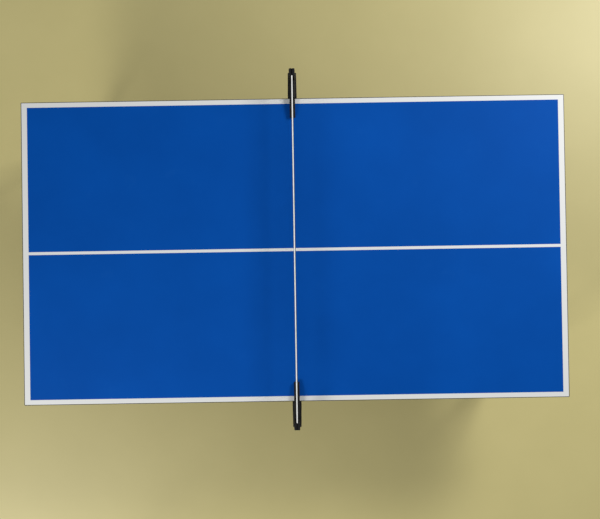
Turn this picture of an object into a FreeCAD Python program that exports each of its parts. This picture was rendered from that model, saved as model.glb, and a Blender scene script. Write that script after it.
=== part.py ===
# Two-piece table tennis table with fold-flat legs and a clamp-on net set, in millimetres.
#
# Frame: +X runs along the table, +Y across it, +Z up. The origin is on the floor under the middle of the net.
# Half b lies on +X and is modelled here. Half a is the same half turned by 180 degrees about +Z, as the real
# pair are: left and right are those of a player at that half's end, so left is -Y on half b and +Y on half a.
import FreeCAD, Part

import math
import os

Vector = FreeCAD.Vector
ORIGIN = Vector(0, 0, 0)
X, Y, Z = Vector(1, 0, 0), Vector(0, 1, 0), Vector(0, 0, 1)

# ---- driving dimensions: table top ----
half_length = 1370.0
table_width = 1525.0
play_height = 760.0
board_thickness = 19.0
edge_band = 3.0            # plastic strip glued round the board
seam_gap = 3.0             # between the two halves
board_corner = 1.5         # plan radius of the bare board's outer corners, under the strip

# ---- steel frame under the board ----
rail_depth = 30.0
rail_width = 20.0
rail_inset = 4.0           # from the board's edge to the rail's outer face
moulding_corner = 3.0      # rounding of the moulded caps, covers and posts
cross_rail_width = 30.0
tube_wall = 1.5
tube_corner = 2.5
screw_radius = 2.2
screw_bite = 12.0          # how far a screw goes into the board
screw_head_radius = 5.0
screw_head_height = 3.0
screw_rows_y = (250.0, 450.0)
dowel_radius = 5.0
dowel_y = 500.0
dowel_reach = 16.0         # how far a dowel enters the other half's rail
dowel_clearance = 0.1

# ---- legs ----
leg_tube = 30.0
inner_leg_x = 130.0        # pivot beside the net, carries the wheels
outer_leg_x = 1180.0       # pivot near the table's end, carries the levelling feet
inner_leg_y = 560.0
outer_leg_y = 640.0
pivot_drop = 24.0          # pivot below the rails' underside
outer_extra_drop = 3.0     # the outer frame folds this much lower, so that it clears the inner one
leg_above_pivot = 12.0
crossbar_down = 330.0      # crossbar below the pivot
crossbar_height = 30.0
crossbar_thickness = 20.0
ear_thickness = 3.0
ear_radius = 13.0
ear_clearance = 1.0
head_clearance = 0.5       # a rivet's head off what turns on it
bracket_length = 40.0
bolt_radius = 4.0
bolt_clearance = 0.08      # running fit, on the radius
rivet_clearance = 0.05     # still fit, on the radius
bolt_head_radius = 7.0
bolt_head_height = 5.0

# ---- folding braces: two links with a knee ----
brace_on_frame = 330.0     # from the leg's pivot to the brace's pivot on the frame
brace_on_leg = 300.0       # from the leg's pivot to the brace's pivot on the leg
link_width = 20.0
link_thickness = 4.0
link_to_leg = 3.0
link_to_link = 6.0
link_to_ear = 2.0
rivet_head = 2.5
knee_gap = 0.6             # the knee is the linkage's open pivot, so its boss stops short of the upper link

# ---- wheels and levelling feet ----
wheel_radius = 37.5
wheel_width = 24.0
tyre_depth = 8.0
wheel_to_leg = 2.0
axle_above_end = 21.5      # wheel axle above the inner tube's end
foot_radius = 20.0
foot_height = 12.0
foot_nut_height = 7.0
stem_radius = 5.0
stem_length = 60.0         # above the pad
outer_leg_end = 34.0
plug_flange = 3.0
plug_depth = 22.0
axle_plug_depth = 32.0     # the inner plugs reach past the axle, which goes through them
plug_clearance = 0.2

# ---- net set ----
net_height = 152.5
net_reach = 87.0           # net beyond each side of the table
post_reach = 121.5         # post's outer face beyond each side
post_depth = 34.0
post_width = 29.0
housing_reach = 129.5
housing_width_in = 45.5
housing_width_out = 42.0
housing_depth = 58.0
housing_wall = 2.5
jaw_length = 98.0          # over the playing surface
jaw_width = 28.0
jaw_thickness = 3.0
jaw_clearance = 0.3        # jaw and pad off the halves they grip
cheek_height = 30.0        # moulded strips on the jaw, one each side of the net
cheek_tip = 14.0           # their height at the jaw's tip
cheek_setback = 1.5        # from the jaw's tip
net_slot = 3.6             # between them
web_gap = 2.0              # upright part of the clamp off the table's edge
lower_arm_length = 76.0
screw_inset = 45.0         # clamp screw in from the table's edge
clamp_screw_radius = 4.0
clamp_screw_length = 92.0
boss_radius = 9.0
boss_height = 14.0
pad_radius = 14.0
pad_height = 6.0
clamp_drop = 44.0          # lower arm below the rails' underside
knob_radius = 20.0
knob_height = 14.0
tension_knob_radius = 11.0
tension_knob_length = 8.0
tension_knob_down = 62.0   # below the post's top
post_above_net = 1.5
cord_radius = 2.0
cord_down = 4.0            # cord's centre below the tape's top
tape_height = 15.0
tape_thickness = 6.0
net_thickness = 2.0
net_lift = 4.5             # net's lower edge above the playing surface

# ---- places that follow from them ----
half_width = table_width / 2
outline_corner = board_corner + edge_band
inner_leg_end = wheel_radius - axle_above_end
board_under = play_height - board_thickness
rail_under = board_under - rail_depth
seam = seam_gap / 2
inner_pivot_z = rail_under - pivot_drop
outer_pivot_z = inner_pivot_z - outer_extra_drop
side_rail_in = half_width - rail_inset - rail_width
end_rail_in = half_length - rail_inset - rail_width
seam_rail_in = seam + rail_inset
brace_length = math.hypot(brace_on_frame, brace_on_leg)
upper_link = (brace_length + brace_on_frame - brace_on_leg) / 2
net_top = play_height + net_height
cord_z = net_top - cord_down


def block(x0, x1, y0, y1, z0, z1):
    return Part.makeBox(x1 - x0, y1 - y0, z1 - z0, Vector(x0, y0, z0))


def rod(start, axis, radius, length):
    return Part.makeCylinder(radius, length, start, axis)


def along(shape, axis):
    """The shape's straight edges that run along an axis."""
    found = []
    for edge in shape.Edges:
        if isinstance(edge.Curve, Part.Line) and abs(edge.tangentAt(edge.FirstParameter).dot(axis)) > 0.999:
            found.append(edge)
    return found


def rounded(shape, axis, radius):
    return shape.makeFillet(radius, along(shape, axis))


def tube(low, high, axis):
    """Rectangular steel tube filling the box from low to high, open at its ends, with rounded long edges."""
    size = high - low
    outer = rounded(Part.makeBox(size.x, size.y, size.z, low), axis, tube_corner)
    wall = Vector(tube_wall, tube_wall, tube_wall) - axis * tube_wall
    room = size - wall * 2
    return outer.cut(Part.makeBox(room.x, room.y, room.z, low + wall))


def plate(points, y0, y1):
    """A flat plate across Y, from an outline of (x, z) points."""
    corners = [Vector(x, y0, z) for x, z in points]
    return Part.Face(Part.makePolygon(corners + corners[:1])).extrude(Vector(0, y1 - y0, 0))


def revolved(points, axis):
    """A solid of revolution about an axis through the origin, from (radius, along) points."""
    side = Z if axis.z == 0 else X
    corners = [side * r + axis * a for r, a in points]
    return Part.Face(Part.makePolygon(corners + corners[:1])).revolve(ORIGIN, axis, 360)


def hexagon(centre, axis, radius, height):
    """A nut or bolt head whose corners lie on the radius."""
    side = X if axis.x == 0 else Z
    other = axis.cross(side)
    turn = [math.radians(60 * k) for k in range(6)]
    corners = [centre + side * (radius * math.cos(t)) + other * (radius * math.sin(t)) for t in turn]
    return Part.Face(Part.makePolygon(corners + corners[:1])).extrude(axis * height)


def both_sides(solids):
    """The solids and their mirror images on the table's other side."""
    return solids + [s.mirror(ORIGIN, Y) for s in solids]


def mirrored(solids):
    return [s.mirror(ORIGIN, Y) for s in solids]


# ---- table top and steel frame ----
def board_outline(inset, z0, z1):
    """The half's outline, drawn in by a distance, with its two outer corners rounded."""
    slab = block(seam + inset, half_length - inset, -half_width + inset, half_width - inset, z0, z1)
    corners = [e for e in along(slab, Z) if e.CenterOfMass.x > half_length / 2]
    return slab.makeFillet(outline_corner - inset, corners)


def cross_rail_places():
    return (inner_leg_x, inner_leg_x + brace_on_frame, outer_leg_x - brace_on_frame, outer_leg_x)


def screw_places():
    """Where the frame's screws go up into the board: along the cross rails and the side rails."""
    side_y = half_width - rail_inset - rail_width / 2
    middle = (inner_leg_x + outer_leg_x) / 2
    places = [(x, y) for x in cross_rail_places() for y in screw_rows_y]
    places += [(x, side_y) for x in (middle - half_length / 4, middle, end_rail_in - rail_width * 3)]
    return places + [(x, -y) for x, y in places]


def screw_holes(z0, z1, clearance):
    return [rod(Vector(x, y, z0), Z, screw_radius + clearance, z1 - z0) for x, y in screw_places()]


def make_board():
    board = board_outline(edge_band, board_under, play_height)
    return [board.cut(screw_holes(board_under, board_under + screw_bite, rivet_clearance))]


def make_edge_band():
    board = board_outline(edge_band, board_under, play_height)
    return [board_outline(0, board_under, play_height).cut(board)]


def dowel_hole(y, clearance):
    start = Vector(0, y, rail_under + rail_depth / 2)
    return rod(start, X, dowel_radius + clearance, seam_rail_in + rail_width * 2)


def make_apron_rails():
    side = tube(Vector(seam_rail_in, side_rail_in, rail_under),
                Vector(half_length - rail_inset, side_rail_in + rail_width, board_under), X)
    ends = []
    for x in (seam_rail_in, end_rail_in):
        low, high = Vector(x, -side_rail_in, rail_under), Vector(x + rail_width, side_rail_in, board_under)
        ends.append(tube(low, high, Y))
    ends[0] = ends[0].cut([dowel_hole(-dowel_y, rivet_clearance), dowel_hole(dowel_y, dowel_clearance)])
    side = side.cut(screw_holes(rail_under, board_under, rivet_clearance))
    other = side.mirror(ORIGIN, Y)
    return [side, other] + ends


def make_cross_rails():
    rails = []
    for x in cross_rail_places():
        rail = tube(Vector(x - cross_rail_width / 2, -side_rail_in, rail_under),
                    Vector(x + cross_rail_width / 2, side_rail_in, board_under), Y)
        rails.append(rail.cut(screw_holes(rail_under, board_under, rivet_clearance)))
    return rails


def make_frame_screws():
    screws = []
    for x, y in screw_places():
        head = rod(Vector(x, y, rail_under - screw_head_height), Z, screw_head_radius, screw_head_height)
        head = head.makeFillet(screw_head_height * 0.6, [head.Edges[2]])
        shank = rod(Vector(x, y, rail_under), Z, screw_radius, rail_depth + screw_bite)
        screws.append(head.fuse(shank))
    return screws


def diagonal(edge):
    """How far an edge lies towards the outer corner, in plan."""
    return edge.CenterOfMass.x + edge.CenterOfMass.y


def make_corner_caps():
    """Plastic caps round the frame's two outer corners."""
    reach = rail_width * 3
    x0, y0 = half_length - reach, half_width - reach
    floor = rail_under - ear_thickness
    cap = block(x0, half_length, y0, half_width, floor, board_under)
    inwards_first = sorted(along(cap, Z), key=diagonal)
    cap = cap.makeFillet(moulding_corner, inwards_first[:3])
    cap = cap.makeFillet(outline_corner, [max(along(cap, Z), key=diagonal)])
    rails_room = block(x0 - 1, half_length - rail_inset, y0 - 1, half_width - rail_inset,
                       rail_under, board_under)
    middle = block(x0 - 1, end_rail_in, y0 - 1, side_rail_in, floor - 1, board_under)
    return both_sides([cap.cut([rails_room, middle])])


def make_seam_dowel():
    pin = rod(Vector(-seam_rail_in - dowel_reach, -dowel_y, rail_under + rail_depth / 2), X, dowel_radius,
              dowel_reach + 2 * seam_rail_in + rail_width + tube_wall)
    nose = min(pin.Edges, key=lambda e: e.CenterOfMass.x)
    return [pin.makeChamfer(dowel_radius / 3, [nose])]


# ---- brackets that carry the legs and braces ----
def bracket_ear(x, pivot_z, half, y0):
    """A steel ear that hangs from the rail, tapering to a round end about its pivot."""
    outline = [(x - half, rail_under), (x + half, rail_under),
               (x + ear_radius, pivot_z), (x - ear_radius, pivot_z)]
    end = rod(Vector(x, y0, pivot_z), Y, ear_radius, ear_thickness)
    return plate(outline, y0, y0 + ear_thickness).fuse(end)


def leg_bracket(x, y, pivot_z):
    """Steel clevis under a cross rail, with an ear each side of the leg."""
    half = bracket_length / 2
    inner = leg_tube / 2 + ear_clearance
    ears = [bracket_ear(x, pivot_z, half, y0) for y0 in (y - inner - ear_thickness, y + inner)]
    web = block(x - half, x + half, y - inner - ear_thickness, y + inner + ear_thickness,
                rail_under - ear_thickness, rail_under)
    hole = rod(Vector(x, y - leg_tube, pivot_z), Y, bolt_radius + rivet_clearance, leg_tube * 2)
    return web.fuse(ears).removeSplitter().cut(hole)


def brace_lanes(leg_y):
    """The Y spans of a brace's parts, from its leg inwards: lower link, upper link and bracket ear."""
    lower = leg_y - leg_tube / 2 - link_to_leg
    upper = lower - link_thickness - link_to_link
    ear = upper - link_thickness - link_to_ear
    return (lower - link_thickness, lower), (upper - link_thickness, upper), (ear - ear_thickness, ear)


def brace_bracket(x, leg_y, pivot_z):
    """Steel angle under a cross rail, with one ear beside the upper link."""
    y0, y1 = brace_lanes(leg_y)[2]
    half = link_width * 0.75
    ear = bracket_ear(x, pivot_z, half, y0)
    flange = block(x - half, x + half, y0 - link_width, y1, rail_under - ear_thickness, rail_under)
    hole = rod(Vector(x, y0 - 1, pivot_z), Y, bolt_radius + rivet_clearance, ear_thickness + 2)
    return flange.fuse(ear).removeSplitter().cut(hole)


def leg_sets():
    """For the inner and the outer leg frame: pivot x, leg y, pivot z, and the way it folds along X."""
    return {"inner": (inner_leg_x, inner_leg_y, inner_pivot_z, 1),
            "outer": (outer_leg_x, outer_leg_y, outer_pivot_z, -1)}


def make_leg_brackets():
    brackets = []
    for x, y, z, way in leg_sets().values():
        brackets.append(leg_bracket(x, y, z))
        brackets.append(brace_bracket(x + way * brace_on_frame, y, z))
    return both_sides(brackets)


def bolt(x, z, y_head, y_end, radius):
    """A bolt along Y with its head at y_head and a nut just before y_end."""
    way = 1 if y_end > y_head else -1
    shank = rod(Vector(x, y_head, z), Y * way, radius, abs(y_end - y_head))
    head = hexagon(Vector(x, y_head - way * bolt_head_height, z), Y * way, bolt_head_radius, bolt_head_height)
    nut = hexagon(Vector(x, y_end - way * bolt_head_height, z), Y * way, bolt_head_radius, bolt_head_height)
    return shank.fuse([head, nut])


def make_pivot_bolts():
    """Bolts that the legs turn on, and the rivets that the upper links turn on."""
    bolts = []
    for x, y, z, way in leg_sets().values():
        reach = leg_tube / 2 + ear_clearance + ear_thickness
        bolts.append(bolt(x, z, y + reach, y - reach - bolt_head_height, bolt_radius))
        upper, ear = brace_lanes(y)[1:]
        free = upper[1] + head_clearance
        bolts.append(rivet((x + way * brace_on_frame, z), [(ear[0] - rivet_head, ear[0], bolt_head_radius),
                                                           (ear[0], free, bolt_radius),
                                                           (free, free + rivet_head, bolt_head_radius)]))
    return both_sides(bolts)


# ---- leg frames ----
def axle_hole(clearance):
    start = Vector(inner_leg_x, inner_leg_y - leg_tube, wheel_radius)
    return rod(start, Y, bolt_radius + clearance, leg_tube * 2)


def make_legs(name, end):
    """Two tubes and the crossbar on their back face, the one away from the way they fold."""
    x, y, z, way = leg_sets()[name]
    half = leg_tube / 2
    leg = tube(Vector(x - half, y - half, end), Vector(x + half, y + half, z + leg_above_pivot), Z)
    holes = [rod(Vector(x, y - leg_tube, z), Y, bolt_radius + bolt_clearance, leg_tube * 2),
             rod(Vector(x, y - leg_tube, z - brace_on_leg), Y, bolt_radius + bolt_clearance, leg_tube * 2)]
    if name == "inner":
        holes.append(axle_hole(rivet_clearance))
    back = x - way * half
    bar_x = sorted((back, back - way * crossbar_thickness))
    bar_z = z - crossbar_down
    bar = tube(Vector(bar_x[0], -y - half, bar_z - crossbar_height / 2),
               Vector(bar_x[1], y + half, bar_z + crossbar_height / 2), Y)
    return both_sides([leg.cut(holes)]) + [bar]


def tube_plug(x, y, end, depth):
    """Plastic plug in a tube's lower end, with a flange over the end."""
    room = leg_tube / 2 - tube_wall - plug_clearance
    half = leg_tube / 2
    flange = rounded(block(x - half, x + half, y - half, y + half, end - plug_flange, end), Z, tube_corner)
    return flange.fuse(block(x - room, x + room, y - room, y + room, end, end + depth))


def make_inner_plugs():
    """Plugs in the inner tubes' lower ends, which the axle bolts pass through."""
    plug = tube_plug(inner_leg_x, inner_leg_y, inner_leg_end, axle_plug_depth)
    return both_sides([plug.cut(axle_hole(bolt_clearance))])


def make_outer_plugs():
    """Plugs in the outer tubes' lower ends, bored for the feet's stems."""
    plug = tube_plug(outer_leg_x, outer_leg_y, outer_leg_end, plug_depth)
    under = Vector(outer_leg_x, outer_leg_y, outer_leg_end - plug_depth)
    return both_sides([plug.cut(rod(under, Z, stem_radius + bolt_clearance, plug_depth * 3))])


def make_foot():
    """Levelling foot on half b's right side: round pad, locknut and threaded stem."""
    base = Vector(outer_leg_x, outer_leg_y, 0)
    pad = rod(base, Z, foot_radius, foot_height)
    pad = pad.makeFillet(foot_height / 3, [max(pad.Edges, key=lambda e: e.CenterOfMass.z)])
    nut = hexagon(base + Z * foot_height, Z, bolt_head_radius + 3, foot_nut_height)
    stem = rod(base + Z * foot_height, Z, stem_radius, stem_length)
    return [pad.fuse([nut, stem])]


def wheel_place():
    """The inner face of half b's right wheel, on its axle."""
    return Vector(inner_leg_x, inner_leg_y + leg_tube / 2 + wheel_to_leg, wheel_radius)


def make_wheel():
    """Plastic hub with a rubber tyre, on half b's right side."""
    rim = wheel_radius - tyre_depth
    step = wheel_width / 6
    chamfer = step / 2
    tyre = revolved([(rim, 0), (wheel_radius - chamfer, 0), (wheel_radius, chamfer),
                     (wheel_radius, wheel_width - chamfer), (wheel_radius - chamfer, wheel_width),
                     (rim, wheel_width)], Y)
    bore = bolt_radius + bolt_clearance
    boss = bolt_head_radius + step
    far = wheel_width - step
    hub = revolved([(bore, 0), (boss, 0), (boss, step), (rim - step, step), (rim - step, 0), (rim, 0),
                    (rim, wheel_width), (rim - step, wheel_width), (rim - step, far),
                    (boss, far), (boss, wheel_width), (bore, wheel_width)], Y)
    place = wheel_place()
    return [tyre.translated(place), hub.translated(place)]


def make_wheel_axles():
    place = wheel_place()
    inside = inner_leg_y - leg_tube / 2 - bolt_head_height
    outside = place.y + wheel_width + ear_clearance
    axle = bolt(place.x, place.z, outside, inside, bolt_radius)
    spacer = rod(Vector(place.x, place.y - wheel_to_leg, place.z), Y, bolt_head_radius,
                 wheel_to_leg - head_clearance)
    return both_sides([axle, spacer.cut(axle_hole(rivet_clearance))])


# ---- braces ----
def link(start, end, lane):
    """A flat steel link between two (x, z) points, with round ends and a hole at each."""
    half = link_width / 2
    run = Vector(end[0] - start[0], 0, end[1] - start[1])
    side = Vector(-run.z, 0, run.x).normalize() * half
    a, b = Vector(start[0], lane[0], start[1]), Vector(end[0], lane[0], end[1])
    corners = [a + side, b + side, b - side, a - side]
    thick = lane[1] - lane[0]
    bar = Part.Face(Part.makePolygon(corners + corners[:1])).extrude(Y * thick)
    return bar.fuse([rod(a, Y, half, thick), rod(b, Y, half, thick)]).removeSplitter()


def link_hole(point, lane, clearance):
    return rod(Vector(point[0], lane[0] - 1, point[1]), Y, bolt_radius + clearance, link_thickness + 2)


def rivet(point, spans):
    """A rivet along Y, given as (y0, y1, radius) spans."""
    parts = [rod(Vector(point[0], y0, point[1]), Y, r, y1 - y0) for y0, y1, r in spans]
    return parts[0].fuse(parts[1:]) if len(parts) > 1 else parts[0]


def brace_points(name):
    """A brace's pivot on the frame, its knee and its pivot on the leg, as (x, z), with the leg down."""
    x, _, z, way = leg_sets()[name]
    share = upper_link / brace_length
    on_frame = (x + way * brace_on_frame, z)
    on_leg = (x, z - brace_on_leg)
    knee = tuple(f + (g - f) * share for f, g in zip(on_frame, on_leg))
    return on_frame, knee, on_leg


def make_upper_brace(name):
    lower, upper, _ = brace_lanes(leg_sets()[name][1])
    on_frame, knee, _ = brace_points(name)
    holes = [link_hole(on_frame, upper, bolt_clearance), link_hole(knee, upper, rivet_clearance)]
    bar = link(on_frame, knee, upper).cut(holes)
    pin = rivet(knee, [(upper[0] - rivet_head, upper[0], bolt_head_radius),
                       (upper[0], upper[1], bolt_radius)])
    return both_sides([bar, pin])


def make_lower_brace(name):
    lower, upper, _ = brace_lanes(leg_sets()[name][1])
    leg_y = leg_sets()[name][1]
    _, knee, on_leg = brace_points(name)
    bar = link(knee, on_leg, lower).cut([link_hole(p, lower, rivet_clearance) for p in (knee, on_leg)])
    boss = rivet(knee, [(upper[1] + knee_gap, lower[0], bolt_head_radius), (lower[0], lower[1], bolt_radius),
                        (lower[1], lower[1] + rivet_head / 2, bolt_head_radius)])
    free = leg_y + leg_tube / 2 + head_clearance
    pin = rivet(on_leg, [(lower[0] - rivet_head, lower[0], bolt_head_radius), (lower[0], free, bolt_radius),
                         (free, free + rivet_head, bolt_head_radius)])
    return both_sides([bar, boss, pin])


# ---- net set: the clamps are modelled on +Y and turned round for the other side ----
jaw_under = play_height + jaw_clearance
jaw_top = jaw_under + jaw_thickness
web_in = half_width + web_gap
arm_top = rail_under - clamp_drop
clamp_screw_y = half_width - screw_inset
post_out = half_width + post_reach
post_in = post_out - post_depth


def make_net_clamp():
    """Bent steel strip: a jaw that runs out to the post, an upright and a lower arm with a nut."""
    half = jaw_width / 2
    jaw = block(-half, half, half_width - jaw_length, post_out, jaw_under, jaw_top)
    jaw = jaw.makeFillet(jaw_thickness * 0.6, [e for e in along(jaw, X) if e.CenterOfMass.y < half_width
                                               and e.CenterOfMass.z > jaw_under + 1])
    web = block(-half, half, web_in, web_in + jaw_thickness, arm_top - jaw_thickness, jaw_under)
    arm = block(-half, half, web_in - lower_arm_length, web_in + jaw_thickness,
                arm_top - jaw_thickness, arm_top)
    boss = rod(Vector(0, clamp_screw_y, arm_top - jaw_thickness - boss_height), Z, boss_radius, boss_height)
    bore = rod(Vector(0, clamp_screw_y, 0), Z, clamp_screw_radius + bolt_clearance, board_under)
    return [jaw.fuse([web, arm, boss]).removeSplitter().cut(bore)]


def make_housing():
    """Plastic cover under the arm, open below and narrower at its outer end, with the cheeks on the jaw."""
    y0, y1 = web_in + jaw_thickness + jaw_clearance, half_width + housing_reach

    def wedge(inset, z0, z1):
        wide, narrow = housing_width_in / 2 - inset, housing_width_out / 2 - inset
        corners = [Vector(-wide, y0 + inset, z0), Vector(wide, y0 + inset, z0),
                   Vector(narrow, y1 - inset, z0), Vector(-narrow, y1 - inset, z0)]
        return Part.Face(Part.makePolygon(corners + corners[:1])).extrude(Z * (z1 - z0))

    top = jaw_under - jaw_clearance
    shell = wedge(0, top - housing_depth, top)
    edges = [e for e in shell.Edges if e.CenterOfMass.z > top - housing_depth + 1]
    shell = shell.makeFillet(moulding_corner, edges)
    return [shell.cut(wedge(housing_wall, top - housing_depth - 1, top - housing_wall))] + make_cheeks()


def make_cheeks():
    """Moulded strips on the jaw that rise from its tip to the table's edge, and run level out to the post."""
    tip = half_width - jaw_length + cheek_setback
    out = post_in - jaw_clearance
    outline = [(tip, jaw_top), (out, jaw_top), (out, jaw_top + cheek_height),
               (half_width, jaw_top + cheek_height), (tip, jaw_top + cheek_tip)]
    corners = [Vector(net_slot / 2, y, z) for y, z in outline]
    cheek = Part.Face(Part.makePolygon(corners + corners[:1])).extrude(X * ((jaw_width - net_slot) / 2))
    outer = [e for e in cheek.Edges if e.CenterOfMass.x > jaw_width / 2 - 1 and e.CenterOfMass.z > jaw_top + 1
             and e.CenterOfMass.y < out - 1]
    cheek = cheek.makeFillet(moulding_corner, outer)
    return [cheek, cheek.mirror(ORIGIN, X)]


def make_net_post():
    """Plastic upright on the arm's end, with a slot in its top for the cord."""
    half = post_width / 2
    post = block(-half, half, post_in, post_out, jaw_top, net_top + post_above_net)
    post = rounded(post, Z, moulding_corner * 1.5)
    top = max(post.Faces, key=lambda f: f.CenterOfMass.z)
    post = post.makeFillet(moulding_corner / 2, top.Edges)
    slot_half = cord_radius + jaw_clearance
    slot = block(-slot_half, slot_half, post_in - 1, post_out + 1, cord_z, net_top + post_above_net + 1)
    round_floor = rod(Vector(0, post_in - 1, cord_z), Y, slot_half, post_depth + 2)
    spindle = rod(Vector(0, post_in + post_depth / 2, tension_knob_z()), Y,
                  bolt_radius + bolt_clearance, post_depth)
    return [post.cut([slot, round_floor, spindle])]


def tension_knob_z():
    return net_top + post_above_net - tension_knob_down


def fluted_knob(radius, height, flutes, depth):
    """A round knob along +Z from the origin, with flutes cut round it."""
    knob = rod(ORIGIN, Z, radius, height)
    knob = knob.makeFillet(height / 6, [e for e in knob.Edges if isinstance(e.Curve, Part.Circle)])
    cuts = []
    for k in range(flutes):
        turn = 2 * math.pi * k / flutes
        centre = Vector(radius * math.cos(turn), radius * math.sin(turn), -1)
        cuts.append(rod(centre, Z, depth, height + 2))
    return knob.cut(cuts)


def make_tension_knob():
    """Fluted knob on the post's outer face that winds in the cord, with its spindle in the post."""
    knob = fluted_knob(tension_knob_radius, tension_knob_length, 12, 1.2)
    spindle = rod(Vector(0, 0, -post_depth / 2 + ear_clearance * 2), Z, bolt_radius, post_depth / 2)
    knob = knob.fuse(spindle)
    knob.rotate(ORIGIN, X, -90)
    return [knob.translated(Vector(0, post_out + ear_clearance / 2, tension_knob_z()))]


def make_clamp_pad():
    top = rail_under - jaw_clearance
    pad = rod(Vector(0, clamp_screw_y, top - pad_height), Z, pad_radius, pad_height)
    pad = pad.makeFillet(pad_height / 4, [min(pad.Edges, key=lambda e: e.CenterOfMass.z)])
    socket = rod(Vector(0, clamp_screw_y, top - pad_height - 1), Z,
                 clamp_screw_radius + bolt_clearance, pad_height / 2 + 1)
    return [pad.cut(socket)]


def make_clamp_screw():
    """Clamp screw from the pad down through the nut to its fluted hand knob."""
    top = rail_under - jaw_clearance - pad_height / 2 - bolt_clearance
    shank = rod(Vector(0, clamp_screw_y, top - clamp_screw_length), Z, clamp_screw_radius, clamp_screw_length)
    knob = fluted_knob(knob_radius, knob_height, 6, 5.0)
    return [shank.fuse(knob.translated(Vector(0, clamp_screw_y, top - clamp_screw_length - knob_height / 2)))]


def make_net():
    """The netting's own space: a thin closed sheet."""
    end = half_width + net_reach
    half = net_thickness / 2
    return [block(-half, half, -end, end, play_height + net_lift, net_top - tape_height)]


def make_net_tape():
    """White tape along the net's top, folded over the cord."""
    end = half_width + net_reach
    half = tape_thickness / 2
    tape = block(-half, half, -end, end, net_top - tape_height, net_top)
    tape = tape.makeFillet(half * 0.9, [e for e in along(tape, Y) if e.CenterOfMass.z > net_top - 1])
    return [tape.cut(rod(Vector(0, -end - 1, cord_z), Y, cord_radius + rivet_clearance, 2 * end + 2))]


def make_net_cord():
    end = post_in + post_depth * 0.75
    return [rod(Vector(0, -end, cord_z), Y, cord_radius, 2 * end)]


# ---- every node ----
def half_nodes():
    """Half b's nodes, without the suffix that names the half."""
    return {
        "board": make_board(),
        "edge_band": make_edge_band(),
        "apron_rails": make_apron_rails(),
        "cross_rails": make_cross_rails(),
        "frame_screws": make_frame_screws(),
        "corner_caps": make_corner_caps(),
        "seam_dowel": make_seam_dowel(),
        "leg_brackets": make_leg_brackets(),
        "pivot_bolts": make_pivot_bolts(),
        "inner_legs": make_legs("inner", inner_leg_end),
        "inner_leg_plugs": make_inner_plugs(),
        "wheel_axles": make_wheel_axles(),
        "wheel_left": mirrored(make_wheel()),
        "wheel_right": make_wheel(),
        "inner_brace_upper": make_upper_brace("inner"),
        "inner_brace_lower": make_lower_brace("inner"),
        "outer_legs": make_legs("outer", outer_leg_end),
        "outer_leg_plugs": make_outer_plugs(),
        "foot_left": mirrored(make_foot()),
        "foot_right": make_foot(),
        "outer_brace_upper": make_upper_brace("outer"),
        "outer_brace_lower": make_lower_brace("outer"),
    }


def net_side_nodes():
    """The nodes at one end of the net, on +Y."""
    return {
        "net_clamp": make_net_clamp(),
        "clamp_housing": make_housing(),
        "net_post": make_net_post(),
        "tension_knob": make_tension_knob(),
        "clamp_pad": make_clamp_pad(),
        "clamp_screw": make_clamp_screw(),
    }


def turned(solids):
    """The solids turned half round the table's middle."""
    copies = [s.copy() for s in solids]
    for s in copies:
        s.rotate(ORIGIN, Z, 180)
    return copies


def all_nodes():
    nodes = {}
    for name, solids in half_nodes().items():
        nodes[name + "_b"] = solids
        nodes[name + "_a"] = turned(solids)
    for name, solids in net_side_nodes().items():
        nodes[name + "_1"] = solids
        nodes[name + "_2"] = turned(solids)
    nodes["net"] = make_net()
    nodes["net_tape"] = make_net_tape()
    nodes["net_cord"] = make_net_cord()
    return nodes


os.makedirs("parts", exist_ok=True)
for node, solids in all_nodes().items():
    Part.makeCompound(solids).exportStep(os.path.join("parts", node + ".step"))
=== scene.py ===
import bpy
import bmesh
import math
import numpy as np
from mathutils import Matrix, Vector


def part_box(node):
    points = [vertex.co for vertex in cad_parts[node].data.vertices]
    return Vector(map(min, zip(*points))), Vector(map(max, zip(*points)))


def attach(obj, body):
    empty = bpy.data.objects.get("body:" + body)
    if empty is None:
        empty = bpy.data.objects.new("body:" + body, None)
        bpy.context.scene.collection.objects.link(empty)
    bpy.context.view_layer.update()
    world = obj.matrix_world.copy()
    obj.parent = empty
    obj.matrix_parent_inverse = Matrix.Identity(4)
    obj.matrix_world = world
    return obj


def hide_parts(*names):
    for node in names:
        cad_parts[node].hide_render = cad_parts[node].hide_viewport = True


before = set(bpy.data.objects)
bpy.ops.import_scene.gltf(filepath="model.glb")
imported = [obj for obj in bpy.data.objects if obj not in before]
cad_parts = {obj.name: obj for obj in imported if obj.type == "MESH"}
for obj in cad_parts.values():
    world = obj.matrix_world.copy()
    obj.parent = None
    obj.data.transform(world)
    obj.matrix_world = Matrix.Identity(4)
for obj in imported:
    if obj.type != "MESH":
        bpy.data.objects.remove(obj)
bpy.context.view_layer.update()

# --------------------------------------------------------------------------------------------------
# The view, light and floor. The table is seen from straight above, a hand's breadth off its middle,
# on a smooth sand-coloured hall floor. One soft box hangs beyond its +X +Y corner and a weaker one
# beyond its -X -Y corner.

eye = bpy.data.cameras.new("eye")
eye.sensor_width = 36.0
eye.lens = 59.6
eye.clip_end = 200.0
eye_stand = bpy.data.objects.new("eye", eye)
eye_stand.location = (0.0252, -0.1133, 5.76)
eye_stand.rotation_euler = (math.radians(0.72), 0.0, math.radians(-0.91))
bpy.context.scene.collection.objects.link(eye_stand)
bpy.context.scene.camera = eye_stand
bpy.context.scene.view_settings.view_transform = "Standard"


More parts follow.
